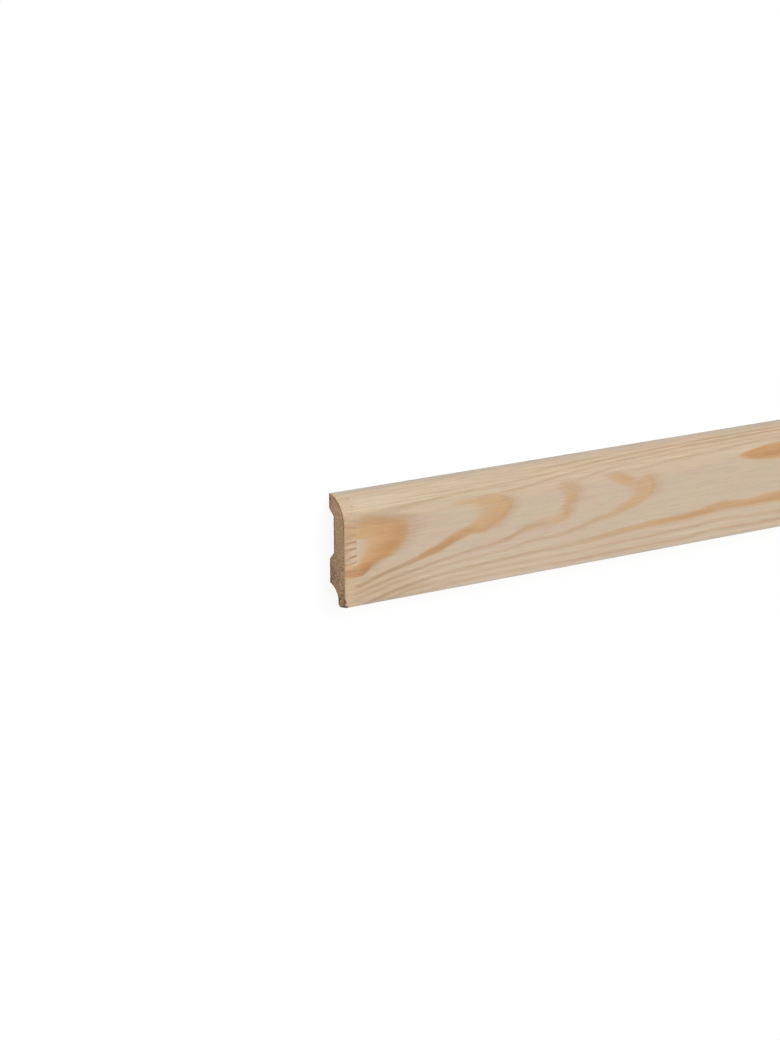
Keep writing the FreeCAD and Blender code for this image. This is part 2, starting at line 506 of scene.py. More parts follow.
# The growth rings that cross the show face near its left end. Each is the outer edge of one
# ring's dark wood, by mm from the left end and mm up the face, which runs on over the quarter
# round. The dark wood is densest at that edge and fades inwards over its width. Its tone says
# how orange it is, and its brown how far it is dulled as well, which halves deeper inside. The
# blur is how softly the edge starts.
LINE_BLUR = 0.5
BROWN_WHOLE, BROWN_HALVED = 2.2, 4.2
LINE_FADE = ((0, 1.0), (0.3, 0.97), (0.45, 0.84), (0.62, 0.5), (0.8, 0.22), (1, 0.0))
BAND_FADE = ((0, 1.0), (0.5, 1.0), (0.68, 0.85), (0.82, 0.5), (0.93, 0.15), (1, 0.0))
LOWER_RINGS = (
    dict(
        edge=((3, 8.7), (12, 9.7), (20, 12.0), (30, 14.3), (40, 16.0), (50, 18.1), (60, 20.3),
              (68, 22.9), (76, 25.1), (81, 26.1), (86, 25.7), (92, 26.8), (98, 28.7), (104, 32.0)),
        width=((3, 2.3), (30, 2.4), (40, 3.0), (50, 4.1), (60, 5.4), (68, 6.4), (76, 6.4), (90, 5.2),
               (104, 4.0)),
        tone=((6, 0.0), (30, 0.08), (44, 0.3), (56, 0.58), (72, 0.6), (80, 0.5), (92, 0.44), (104, 0.0)),
        brown=((3, 0.0), (11, 0.85), (36, 1.0), (46, 0.8), (60, 0.75), (76, 0.55), (90, 0.4), (104, 0.0)),
        blur=((3, 0.5), (45, 0.6), (60, 1.0), (78, 1.6), (104, 2.0)),
    ),
    dict(
        edge=((5, 5.4), (20, 8.2), (30, 10.2), (50, 13.1), (60, 14.6), (75, 16.5), (98, 18.5),
              (105, 19.7), (112, 21.6), (120, 22.8), (134, 23.0), (141, 24.3), (147, 28.0)),
        width=((5, 1.9), (90, 2.2), (105, 2.8), (120, 4.7), (128, 6.2), (138, 6.0), (147, 5.8)),
        tone=((5, 0.0), (60, 0.06), (88, 0.08), (104, 0.22), (116, 0.3), (127, 0.25), (137, 0.37),
              (141, 0.4), (147, 0.0)),
        brown=((4, 0.0), (12, 0.62), (34, 0.72), (46, 0.6), (66, 0.56), (88, 0.48), (100, 0.66),
               (120, 0.36), (147, 0.0)),
        blur=((5, 0.5), (85, 0.6), (100, 1.1), (147, 1.4)),
    ),
    dict(
        edge=((5, 2.3), (20, 5.1), (30, 7.2), (40, 8.7), (60, 11.4), (90, 13.4), (105, 14.3),
              (120, 16.2), (137, 16.6), (150, 18.1), (163, 20.6), (172, 21.6), (180, 22.7),
              (190, 25.2), (203, 31.5)),
        width=((5, 1.9), (130, 2.2), (150, 2.8), (172, 3.6), (190, 6.4), (203, 6.4)),
        tone=((5, 0.0), (40, 0.06), (138, 0.08), (152, 0.14), (170, 0.2), (180, 0.34), (190, 0.42),
              (203, 0.0)),
        brown=((4, 0.0), (12, 0.45), (60, 0.38), (120, 0.42), (152, 0.5), (170, 0.35), (182, 0.15),
               (203, 0.0)),
        blur=((5, 0.5), (130, 0.6), (150, 1.1), (170, 1.6), (203, 1.6)),
    ),
    dict(
        edge=((10, -1.0), (20, 1.2), (30, 3.4), (50, 6.3), (62, 7.7), (90, 8.7), (120, 9.9),
              (150, 10.1), (160, 10.5), (170, 11.2), (178, 11.8), (185, 12.1), (200, 12.8), (228, 13.2),
              (252, 14.8), (280, 14.3), (330, 14.4)),
        width=((10, 1.9), (120, 2.3), (150, 3.2), (170, 3.8), (210, 4.4), (235, 5.0), (254, 5.9),
               (268, 5.2), (278, 5.7), (288, 6.9), (330, 7.2)),
        tone=((10, 0.0), (30, 0.1), (125, 0.12), (150, 0.24), (170, 0.32), (215, 0.46), (235, 0.49),
              (266, 0.49), (286, 0.58), (330, 0.66)),
        brown=((10, 0.2), (22, 0.9), (34, 0.95), (46, 0.65), (62, 0.6), (90, 0.45), (112, 0.6),
               (135, 0.4), (165, 0.34), (215, 0.36), (231, 0.6), (255, 0.4), (330, 0.25)),
        blur=((10, 0.5), (125, 0.6), (150, 0.8), (200, 1.2), (230, 1.8), (330, 1.8)),
    ),
    dict(
        edge=((24, -0.6), (30, 0.5), (40, 2.2), (60, 4.2), (75, 5.0), (105, 5.8), (150, 6.1),
              (170, 6.8), (210, 7.6), (232, 8.1), (250, 9.0), (270, 8.4), (330, 8.0)),
        width=2.6,
        tone=0.09,
        brown=((24, 0.3), (42, 0.55), (75, 0.34), (110, 0.36), (150, 0.34), (165, 0.56), (240, 0.6),
               (330, 0.65)),
        blur=((24, 0.5), (150, 0.6), (220, 1.1), (330, 1.1)),
        fade=LINE_FADE,
    ),
    dict(
        edge=((44, -0.2), (60, 1.2), (75, 2.0), (100, 2.4), (120, 2.6), (150, 2.1), (170, 2.6),
              (210, 2.5), (230, 3.2), (250, 4.1), (280, 3.6), (330, 3.8)),
        width=2.6,
        tone=0.09,
        brown=((44, 0.3), (62, 0.46), (100, 0.28), (140, 0.48), (170, 0.66), (210, 0.6), (240, 0.72),
               (330, 0.72)),
        blur=((44, 0.5), (150, 0.6), (220, 1.1), (330, 1.1)),
        fade=LINE_FADE,
    ),
)

# The finer rings above them, on and below the quarter round, whose outer edge is the upper one.
UPPER_TONE = 0.1
UPPER_RINGS = (
    dict(
        edge=((10, 46.3), (20, 46.6), (50, 47.6), (65, 48.5), (80, 49.1), (110, 49.9), (130, 50.9),
              (150, 52.2), (170, 53.5), (210, 55.0), (250, 56.0), (330, 56.4)),
        width=((10, 4.0), (45, 3.2), (75, 2.4), (130, 1.9), (330, 1.9)),
        brown=((8, 0.0), (20, 0.4), (50, 0.62), (75, 0.56), (90, 0.38), (110, 0.46), (130, 0.7),
               (150, 0.56), (172, 0.72), (190, 0.6), (230, 0.66), (330, 0.66)),
    ),
    dict(
        edge=((84, 45.0), (100, 45.4), (110, 45.9), (130, 47.8), (150, 49.7), (170, 51.0), (190, 52.0),
              (210, 52.8), (230, 53.6), (250, 53.7), (285, 54.2), (330, 54.3)),
        width=2.0,
        brown=((84, 0.0), (104, 0.5), (130, 0.58), (150, 0.4), (190, 0.5), (214, 0.7), (250, 0.76),
               (330, 0.9)),
    ),
    dict(
        edge=((138, 44.8), (150, 45.5), (170, 48.0), (190, 49.3), (210, 50.5), (250, 51.3), (330, 52.0)),
        width=2.1,
        brown=((138, 0.0), (150, 0.5), (170, 0.54), (190, 0.42), (215, 0.48), (250, 0.38), (330, 0.4)),
    ),
    dict(
        edge=((178, 44.6), (190, 45.5), (210, 46.9), (230, 48.0), (250, 48.5), (285, 49.9), (330, 49.8)),
        width=2.3,
        brown=((178, 0.0), (190, 0.42), (250, 0.5), (330, 0.55)),
    ),
    dict(
        edge=((36, 51.2), (80, 52.1), (110, 53.1), (130, 54.0), (150, 55.3), (170, 56.1), (190, 57.0),
              (230, 58.0), (330, 59.2)),
        width=2.1,
        brown=((36, 0.0), (60, 0.2), (100, 0.22), (130, 0.3), (150, 0.6), (172, 0.42), (210, 0.22),
               (330, 0.22)),
    ),
)

# The lower rings' dark wood where it turns back across the face. The outer edge, the width and
# the rest are given by mm up the face, and the edge and the width run along the board. The blur
# is how softly the edge ends, and the brown lies about the edge, over a halo and a rim.
RING_TIPS = (
    dict(
        edge=((14.2, 6), (15.6, 12), (17, 14.8), (19.4, 17.6), (20.8, 21), (22.2, 25.6), (23.8, 30),
              (26.4, 34.4), (30, 37.6), (35, 39.6), (38, 39.4), (40, 36.8), (41, 34), (42, 30),
              (43, 26), (44, 22), (46, 19)),
        width=((14, 10), (17, 14), (20, 15), (22, 19.5), (24, 24.5), (26, 27), (29, 29), (33, 35),
               (36, 50), (40, 52), (42, 36), (43, 24), (44, 16), (46, 13)),
        tone=((13.6, 0.0), (15.2, 0.66), (18, 0.9), (22, 0.97), (24, 0.95), (29, 0.82), (33, 0.72),
              (38, 0.72), (41, 0.56), (43, 0.42), (45, 0.3), (46.2, 0.15), (47.4, 0.0)),
        brown=((13.6, 0.0), (15.2, 0.8), (20, 0.7), (25, 0.4), (35, 0.5), (38.5, 0.4), (41, 0.7),
               (44, 0.5), (47.5, 0.0)),
        blur=((14, 1.2), (19, 3.0), (22, 7.0), (25, 8.0), (29, 6.0), (36, 6.5), (39, 8.0), (42, 11.0),
              (44, 8.0), (46, 7.0)),
        halo=((14, 1.5), (17, 3.5), (19.5, 7.5), (23, 9.0), (29, 10.0), (36, 18.0), (40, 20.0),
              (46, 22.0)),
        rim=((14, 12.0), (29, 13.0), (38, 16.0), (41, 46.0), (47, 46.0)),
    ),
    dict(
        edge=((26.5, 95.6), (28, 97.4), (31, 101.2), (34, 104), (38, 107), (41, 105.2), (43, 102),
              (46, 99.6)),
        width=((26.5, 26), (30, 31), (32, 26), (34, 25), (38, 27), (41, 30), (43, 42), (46, 26)),
        tone=((26.5, 0.0), (28.6, 0.42), (32, 0.6), (36, 0.54), (42.8, 0.48), (44.3, 0.34), (46, 0.0)),
        brown=((26.5, 0.0), (30, 0.35), (41, 0.42), (46, 0.1)),
        blur=((27, 5.0), (32, 4.5), (36, 3.2), (46, 3.6)),
        halo=9.0,
        rim=6.0,
    ),
    dict(
        edge=((25, 143), (29, 145.6), (32, 147), (35, 149.8), (38, 151.6), (41, 150), (43.5, 146.6),
              (46, 144)),
        width=((25, 10), (30, 10), (33, 10), (35, 12.4), (38, 14), (41, 15.6), (44, 15), (46, 12)),
        tone=((24.4, 0.0), (27, 0.42), (31, 0.41), (36, 0.49), (41, 0.42), (43.5, 0.38), (45.4, 0.0)),
        brown=((25, 0.0), (29, 0.35), (36, 0.3), (43, 0.45), (46, 0.1)),
        blur=((28, 3.0), (34, 3.2), (38, 4.5), (41, 5.5), (46, 4.0)),
        halo=7.0,
        rim=8.0,
    ),
    dict(
        edge=((25, 188), (27.4, 193), (29, 198), (31, 202.4), (33, 203.6), (36, 204.2), (38, 203.6),
              (39, 202.4), (41, 199.4), (42.6, 197.4)),
        width=((25, 18), (29, 21), (32, 20), (35, 22), (37.6, 21), (39, 14), (40.4, 10), (42, 8)),
        tone=((24.6, 0.0), (26.4, 0.4), (29, 0.42), (36, 0.48), (39, 0.44), (41, 0.26), (43.4, 0.0)),
        brown=((27, 0.0), (30, 0.3), (36, 0.4), (42, 0.1)),
        blur=2.6,
        halo=11.0,
        rim=5.0,
    ),
    dict(
        edge=((35.5, 193), (37, 192.5), (38.5, 191.4), (40, 189.2), (41.5, 186.4), (43, 183.6),
              (45, 180)),
        width=((35.5, 10), (37, 13), (38.5, 15), (42.8, 17), (45, 14)),
        tone=((35, 0.0), (36.6, 0.4), (38.5, 0.5), (42.6, 0.54), (44, 0.5), (46, 0.0)),
        brown=((36, 0.0), (40, 0.3), (45, 0.1)),
        blur=5.5,
        halo=6.0,
        rim=5.0,
    ),
    dict(
        edge=((36.8, 298), (38.4, 285), (39.6, 275.4), (40.8, 270.4), (42, 267), (43, 265),
              (44, 267.6), (45, 272.8), (46, 279.6), (47, 282), (49, 284)),
        width=90.0,
        tone=((36.2, 0.0), (38.4, 0.48), (40, 0.82), (41.6, 0.93), (45, 0.92), (46.1, 0.66), (47, 0.24),
              (48.2, 0.14), (49.4, 0.0)),
        brown=((38, 0.0), (42, 0.24), (47, 0.0)),
        blur=((37, 10.0), (40.4, 8.0), (43, 8.0), (46, 7.0), (49, 8.0)),
        halo=1.0,
        rim=12.0,
        way=1.0,
    ),
)

TIP_FADE = ((0, 1.0), (0.3, 1.0), (0.5, 0.9), (0.65, 0.77), (0.78, 0.46), (0.9, 0.15), (1, 0.0))

# The stub of the neighbouring length at the left end, glued on by a row of fingers. Each is a
# wedge of the stub's wood that narrows to a dark slit at its tip. Their tilt and how clearly the
# wedges and slits show go by height above the floor edge.
FINGER_PITCH = 3.45
FINGER_FIRST = 25.7
FINGER_TIP = 8.0
FINGER_TILT = ((22, 0.15), (25.6, 0.21), (29, 0.03), (35, 0.04), (40, -0.14), (50, -0.1))
SLITS_BY_HEIGHT = ((20.4, 0.0), (22, 0.75), (25.6, 1.0), (29.2, 0.82), (32.7, 0.7), (36.2, 0.36),
                   (39.6, 0.45), (43, 0.45), (46.6, 0.25), (49.8, 0.4), (53.4, 0.34), (55, 0.0))
WEDGES_BY_HEIGHT = ((22.6, 0.0), (24.6, 0.35), (28.4, 0.95), (33.4, 0.85), (35.4, 0.3), (44, 0.25),
                    (52, 0.0))
STUB_ORANGE_FROM, STUB_ORANGE_TO = 15.4, 19.5
STUB_ORANGE_SLOPE = 0.33
STUB_CREAM_BY_HEIGHT = ((20.2, 0.0), (21.6, 0.85), (32, 0.85), (35, 0.25), (40, 0.3), (45, 0.65),
                        (50, 0.0))
STUB_AMBER_BY_HEIGHT = ((28.5, 0.0), (31, 0.4), (33, 0.7), (36, 0.6), (40, 0.5), (43, 0.0))
STUB_RED_BY_HEIGHT = ((21, 0.0), (23, 0.6), (27, 0.4), (31, 0.4), (34, 0.75), (37.6, 0.8),
                      (39.2, 0.15), (40.6, 0.65), (42, 0.4), (45, 0.3), (52, 0.1))
STUB_SHINE_BY_HEIGHT = ((19.0, 0.0), (20.0, 0.9), (20.6, 0.8), (21.6, 0.0))

# Two marks at the foot of the left end, as mm in from the end, up the face and out from the back
# with their reach each way, and a short dark crack behind the toe of the sawn end.
RED_SPOT, RED_SPOT_SIZE = (0.0, 3.0, 12.0), (1.15, 1.25, 1.4)
BRUISE, BRUISE_SIZE = (0.0, 0.0, 11.6), (2.2, 1.6, 1.9)
CRACK_START = (3.3, 7.4)
CRACK_SIDE = (-0.64, 0.77)


def ring_line(f, along, up, ring, way=1.0):
    """The dark wood of one ring as (orange, brown), sharp on its outer side."""
    inside = f.times(f.less(up, f.curve(along, ring["edge"])), way)
    blur = f.look_up(along, ring.get("blur", LINE_BLUR))
    depth = f.over(inside, f.look_up(along, ring["width"]))
    fades = f.curve(depth, ring.get("fade", BAND_FADE))
    shape = f.times(f.ease(f.over(inside, blur), -1.0, 1.0), fades)
    dulled = f.times(shape, f.ease(inside, BROWN_WHOLE, BROWN_HALVED, 1.0, 0.5))
    orange = f.times(shape, f.look_up(along, ring["tone"]))
    return orange, f.times(dulled, f.look_up(along, ring["brown"]))


def ring_tip(f, up, along, tip):
    """The same where the ring turns back across the face."""
    inside = f.times(f.less(along, f.curve(up, tip["edge"])), tip.get("way", -1.0))
    starts = f.ease(f.over(inside, f.look_up(up, tip["blur"])), -1.0, 1.0)
    fades = f.curve(f.over(inside, f.look_up(up, tip["width"])), TIP_FADE)
    outside = f.ease(f.over(inside, f.look_up(up, tip["halo"])), -1.0, 0.0)
    rim = f.ease(f.over(inside, f.look_up(up, tip["rim"])), 0.0, 1.0, 1.0, 0.0)
    return (f.times(starts, fades, f.look_up(up, tip["tone"])),
            f.times(outside, rim, f.look_up(up, tip["brown"])))


# Where a point lies in the wood, in mm: its X, Y and Z, its level above the floor edge, how far
# along it is from the left end, how far up the face and on over the quarter round, and how far
# below them. Its skin is 1 at the show face and 0 deeper down.
Place = namedtuple("Place", "spot level along up below skin")


def board_place(f):
    """The place of the point that is seen."""
    x, y, z = f.place()
    level = f.less(y, FLOOR_EDGE)
    rise = f.sum("MAXIMUM", f.less(y, ROUND_Y), 0.0)
    lift = f.less(z, ROUND_Z)
    turned = f.times(f.sum("ARCTAN2", rise, lift), ROUNDOVER_RADIUS)
    up = f.add(f.sum("MINIMUM", level, FLAT_HEIGHT), turned)
    below = f.less(ROUNDOVER_RADIUS, f.away(rise, lift))
    skin = f.ease(below, 0.4, 1.6, 1.0, 0.0)
    return Place((x, y, z), level, f.add(x, LENGTH / 2), up, below, skin)


# Ring numbers up the face where the drawn rings end, and how the whole set drifts along the
# board. Together they give the grain of all the wood that the photograph doesn't show.
RINGS_BY_HEIGHT = ((-4, 9.2), (0, 8.0), (4.0, 7.0), (8.0, 6.0), (13.8, 5.0), (20, 4.72), (30, 4.4),
                   (38.4, 4.02), (41, 3.86), (43, 3.8), (45.2, 3.88), (46.8, 4.0), (49.8, 5.0),
                   (52.0, 6.0), (54.6, 7.0), (57.0, 8.0), (59.2, 9.0), (61.5, 10.2))
RING_DRIFT = ((0, -3.3), (39, -2.8), (105, -1.8), (150, -0.8), (204, 0.2), (232, 0.35), (262, 0.2),
              (300, -0.1), (380, -1.3), (520, -2.6), (640, -2.9), (800, -1.9), (930, -0.4),
              (1050, 0.5), (1180, 0.2), (1330, -1.1), (1480, -2.6), (1620, -3.4), (1780, -2.7),
              (1930, -1.2), (2080, -0.3), (2230, -0.8), (2400, -2.2))
RINGS_PER_DEPTH = 0.4
RING_GROWTH = ((0, 0.0), (0.5, 0.0), (0.72, 0.3), (0.88, 0.85), (0.96, 1.0), (1, 0.0))
DRAWN_UNTIL, DRAWN_GONE = 297.0, 335.0


def ring_dark(f, at):
    """Dark wood that builds up through each ring, by the ring's number, and then stops."""
    swing = f.sway((160.0, 30.0, 30.0), at.spot, 2.2)
    number = f.add(f.curve(f.add(at.up, swing), RINGS_BY_HEIGHT), f.curve(at.along, RING_DRIFT))
    number = f.add(number, f.times(at.below, RINGS_PER_DEPTH))
    number = f.add(number, f.sway((90.0, 6.0, 6.0), at.spot, 0.12, shift=3.0))
    return f.curve(f.sum("FRACT", number), RING_GROWTH)


def grown_grain(f, at):
    """Orange and brown of the rings in all the wood that isn't drawn."""
    dark = ring_dark(f, at)
    wide = f.times(f.ease(at.up, 8.0, 16.0), f.ease(at.up, 44.0, 49.0, 1.0, 0.0))
    strength = f.ease(f.noise((260.0, 14.0, 14.0), at.spot, shift=9.0), 0.3, 0.65, 0.55, 1.0)
    return (f.times(dark, strength, f.ease(wide, 0.0, 1.0, 0.06, 0.75)),
            f.times(dark, f.ease(wide, 0.0, 1.0, 0.7, 0.35)))


def drawn_grain(f, at):
    """Orange and brown of the rings that are drawn on the show face."""
    wobble = f.add(f.sway((14.0, 3.0, 3.0), at.spot, 0.35),
                   f.sway((5.0, 2.0, 2.0), at.spot, 0.25, shift=35.0))
    feather = f.sway((24.0, 0.5, 0.5), at.spot, 3.6, detail=3.0, shift=5.0)
    ragged = f.sway((5.0, 1.4, 1.4), at.spot, 2.0, shift=31.0)
    up = f.add(at.up, wobble)
    torn = f.add(f.add(at.along, feather), ragged)
    bands = [ring_line(f, at.along, up, ring) for ring in LOWER_RINGS]
    for ring in UPPER_RINGS:
        fine = dict(ring, tone=UPPER_TONE, fade=LINE_FADE)
        bands.append(ring_line(f, at.along, up, fine, way=-1.0))
    bands += [ring_tip(f, up, torn, tip) for tip in RING_TIPS]
    oranges, browns = zip(*bands)
    rich = f.spread(f.noise((12.0, 2.4, 2.4), at.spot, shift=33.0), 0.84, 1.12)
    vary = f.spread(f.noise((22.0, 2.5, 2.5), at.spot, shift=21.0), 0.78, 1.15)
    return f.times(f.most(oranges), rich), f.times(f.most(browns), vary)


# The colours of the planed wood as they are seen: how a ring's orange deepens, then the tints of
# the wood between the rings, a painted greyish shade and sheen along its top and floor edges, the
# casts over its brown, the stub, the torn fibres and the marks.
GRAIN_SHADES = (
    (0.0, rgb(203, 183, 158)), (0.15, rgb(205, 180, 150)), (0.3, rgb(204, 174, 140)),
    (0.45, rgb(203, 169, 131)), (0.6, rgb(202, 162, 121)), (0.75, rgb(200, 155, 111)),
    (0.88, rgb(196, 149, 102)), (1.0, rgb(189, 142, 97)),
)
UPPER_WOOD = rgb(208, 185, 156)
LOWER_WOOD = rgb(207, 184, 158)
AMBER_WOOD = rgb(202, 177, 147)
PALE_WOOD = rgb(213, 194, 170)
YELLOW_WOOD = rgb(203, 172, 125)
PINK_WOOD = rgb(205, 179, 158)
GREEN_WOOD = rgb(199, 184, 155)
# A painted greyish shade and sheen for the top and floor edges of the show face.
EDGE_SHADE_AND_SHEEN = rgb(189, 178, 163)
GREY_CAST = rgb(227, 216, 205)
WARM_CAST = rgb(231, 215, 201)
STUB_CREAM = rgb(214, 187, 157)
STUB_LOW = rgb(206, 177, 146)
STUB_RED = rgb(193, 156, 126)
STUB_AMBER = rgb(201, 162, 127)
STUB_ORANGE = rgb(189, 143, 101)
STUB_GLOW = rgb(205, 166, 128)
STUB_SHINE = rgb(214, 176, 137)
SLIT_BROWN = rgb(134, 100, 72)
TORN_LIGHT = rgb(228, 202, 162)
TORN_DARK = rgb(168, 132, 100)
CORNER_BROWN = rgb(66, 50, 42)
SPOT_RED = rgb(112, 66, 44)

# How strongly the fine fibres and the broader streaks show, by mm up the face: most near the top
# edge and the floor edge, where the rings are narrow.
BRISTLE_BY_HEIGHT = ((0, 0.6), (12, 0.6), (20, 0.1), (44, 0.15), (49, 1.0), (61, 1.0))
STREAKS_BY_HEIGHT = ((0, 0.5), (14, 0.5), (22, 0.15), (40, 0.15), (47, 0.9), (52, 1.1), (61, 1.1))

# How creamy the wood between the rings is by mm up the face, how dark the stub's slits and the
# resin canals are, and how far the fibres stand up and the canals lie in, in mm.
CREAM_BY_HEIGHT = ((40, 0.0), (44.5, 0.8), (51, 1.0), (55, 0.8), (58, 0.35), (60, 0.0))
SLIT_DARKNESS = 0.62
CANAL_DARKNESS = 0.08
FIBRE_HEIGHT = 0.03
CANAL_DEPTH = 0.02


def ground_colour(f, at, plain, colour):
    """Pale wood between the rings: creamier above, soft pink and green patches, painted shade and sheen
    at the edges.
    """
    pink = f.ease(f.noise((26.0, 5.0, 5.0), at.spot, shift=7.0), 0.42, 0.68, 0.0, 0.75)
    green = f.ease(f.noise((20.0, 4.0, 4.0), at.spot, shift=17.0), 0.5, 0.72, 0.0, 0.55)
    colour = f.tint(f.times(pink, plain), colour, PINK_WOOD)
    colour = f.tint(f.times(green, plain), colour, GREEN_WOOD)
    lower = f.times(f.ease(at.up, 8.0, 22.0, 0.8, 0.0), plain)
    colour = f.tint(lower, colour, LOWER_WOOD)
    amber = f.times(f.ease(at.up, 10.0, 24.0, 1.0, 0.0), plain)
    colour = f.tint(f.times(amber, f.ease(at.along, 24.0, 70.0, 1.0, 0.0)), colour, AMBER_WOOD)
    upper = f.times(f.curve(at.up, CREAM_BY_HEIGHT), plain)
    colour = f.tint(f.times(upper, f.ease(at.along, 40.0, 160.0, 1.0, 0.8)), colour, UPPER_WOOD)
    pale = f.times(f.ease(at.up, 47.0, 50.0), f.ease(at.up, 53.0, 56.0, 1.0, 0.0))
    reach = f.times(f.ease(at.along, 5.0, 14.0), f.ease(at.along, 20.0, 44.0, 0.75, 0.0))
    colour = f.tint(f.times(pale, reach), colour, PALE_WOOD)
    # Painted shade and sheen: a greyish tint along the top edge over the quarter round and along the
    # floor edge.
    edge_shading = f.most([f.ease(at.up, 57.5, 61.0, 0.0, 0.8), f.ease(at.up, 0.3, 2.2, 0.7, 0.0)])
    return f.tint(f.times(edge_shading, at.skin), colour, EDGE_SHADE_AND_SHEEN)


def fingers(f, at):
    """The row of fingers at the stub's end, as (wedges, slits)."""
    wave = f.sway((7.0, 1.6, 1.6), at.spot, 0.35, shift=11.0)
    jagged = f.add(at.along, f.sway((30.0, 1.2, 1.2), at.spot, 0.9, shift=19.0))
    inside = f.less(FINGER_TIP, jagged)
    height = f.add(f.add(at.level, wave), f.times(inside, f.curve(at.level, FINGER_TILT)))
    turns = f.over(f.less(height, FINGER_FIRST), FINGER_PITCH)
    away = f.times(f.sum("ABSOLUTE", f.less(turns, f.sum("ROUND", turns))), FINGER_PITCH)
    wide = f.ease(inside, 1.0, 6.0, 0.3, 1.0, kind="LINEAR")
    wedge = f.times(f.ease(f.less(away, wide), -0.4, 0.4, 1.0, 0.0), f.ease(inside, 1.0, 4.0))
    half = f.ease(inside, 0.5, 6.5, 0.5, 0.25, kind="LINEAR")
    slit = f.ease(f.less(away, half), -0.3, 0.4, 1.0, 0.0)
    high = f.ease(at.level, 46.0, 49.0)
    reach = f.ease(f.noise((20.0, 3.0, 3.0), at.spot, shift=37.0), 0.4, 0.6, 0.15, 0.8)
    reach = f.times(reach, f.less(1.0, high))
    tail = f.ease(f.times(inside, f.add(1.0, high)), 2.6, 6.0)
    ends = f.times(f.ease(inside, 0.0, 0.6), f.less(1.0, f.times(tail, f.less(1.0, reach))))
    return (f.times(wedge, f.curve(at.level, WEDGES_BY_HEIGHT)),
            f.times(slit, ends, f.curve(at.level, SLITS_BY_HEIGHT)))


def stub_colour(f, at, colour):
    """The short glued-on stub at the left end, over the colour of the board itself."""
    inside = f.less(FINGER_TIP, at.along)
    soft = f.times(f.ease(inside, -3.0, 5.0), at.skin)
    sharp = f.times(f.ease(inside, -0.6, 0.8), at.skin)
    crisp = f.add(sharp, f.times(f.less(soft, sharp), f.ease(at.up, 33.0, 35.5)))
    streak = f.noise((22.0, 0.8, 0.8), at.spot, detail=3.0, shift=13.0)
    left = f.ease(inside, 2.5, 5.5)
    cream = f.curve(at.up, STUB_CREAM_BY_HEIGHT)
    colour = f.tint(f.times(cream, crisp), colour, STUB_CREAM)
    amber = f.curve(at.up, STUB_AMBER_BY_HEIGHT)
    colour = f.tint(f.times(amber, crisp, f.ease(streak, 0.35, 0.6, 1.0, 0.3)), colour, STUB_AMBER)
    low = f.ease(at.up, 14.0, 16.0, 0.9, 0.0)
    colour = f.tint(f.times(low, soft), colour, STUB_LOW)
    red = f.curve(at.up, STUB_RED_BY_HEIGHT)
    reds = f.times(red, crisp, f.ease(streak, 0.42, 0.58, 1.0, 0.25))
    colour = f.tint(f.times(reds, f.add(0.2, f.times(left, 0.8))), colour, STUB_RED)
    wedges, slits = fingers(f, at)
    colour = f.tint(wedges, colour, STUB_RED)
    top = f.add(STUB_ORANGE_TO, f.times(inside, STUB_ORANGE_SLOPE))
    glow = f.times(f.ease(at.up, STUB_ORANGE_FROM - 1.0, STUB_ORANGE_FROM + 0.8),
                   f.ease(f.less(at.up, top), -0.8, 0.8, 1.0, 0.0), crisp)
    colour = f.tint(glow, colour, f.tint(f.ease(streak, 0.5, 0.66), STUB_ORANGE, STUB_GLOW))
    shine = f.times(f.curve(at.up, STUB_SHINE_BY_HEIGHT), f.ease(inside, 1.0, 3.5), crisp)
    colour = f.tint(shine, colour, STUB_SHINE)
    return f.tint(f.times(slits, SLIT_DARKNESS), colour, SLIT_BROWN)


def corner_marks(f, at, colour):
    """The two dark marks at the foot of the left end: a reddish spot and a bruised corner."""
    rough = f.sway((0.7, 0.7, 0.7), at.spot, 0.5)
    here = (at.along, at.level, at.spot[2])
    marks = ((RED_SPOT, RED_SPOT_SIZE, SPOT_RED), (BRUISE, BRUISE_SIZE, CORNER_BROWN))
    for place, size, mark in marks:
        steps = [f.over(f.less(part, middle), reach)
                 for part, middle, reach in zip(here, place, size)]
        colour = f.tint(f.ease(f.add(f.away(*steps), rough), 0.55, 1.25, 0.9, 0.0), colour, mark)
    return colour


def torn_edge(f, at, colour):
    """Fibres that the saw lifted along the front corner of the left end, and a dark band at the end's
    edge that is partly painted shade.
    """
    flecks = f.noise((2.2, 0.5, 0.5), at.spot, detail=3.0, shift=23.0)
    high = f.times(f.ease(at.along, 1.2, 4.5, 0.85, 0.0), f.ease(at.up, 45.0, 50.0), at.skin)
    colour = f.tint(f.times(high, f.ease(flecks, 0.5, 0.6)), colour, TORN_LIGHT)
    colour = f.tint(f.times(high, f.ease(flecks, 0.4, 0.5, 0.6, 0.0)), colour, TORN_DARK)
    # The dark band within a mm of the end: torn fibres, and partly a painted shade at the end's corner.
    dull = f.times(f.ease(at.along, 0.3, 1.0, 0.85, 0.0), f.ease(flecks, 0.35, 0.6, 1.0, 0.45))
    return f.tint(f.times(dull, f.ease(at.up, 30.0, 50.0, 1.0, 0.6), at.skin), colour, TORN_DARK)


def grain(f, at):
    """Orange and brown of the planed wood: drawn on the face by the left end, else grown."""
    shown = f.times(f.ease(at.along, DRAWN_UNTIL, DRAWN_GONE, 1.0, 0.0), at.skin)
    rest = f.less(1.0, shown)
    pairs = zip(drawn_grain(f, at), grown_grain(f, at))
    return [f.add(f.times(drawn, shown), f.times(grown, rest)) for drawn, grown in pairs]


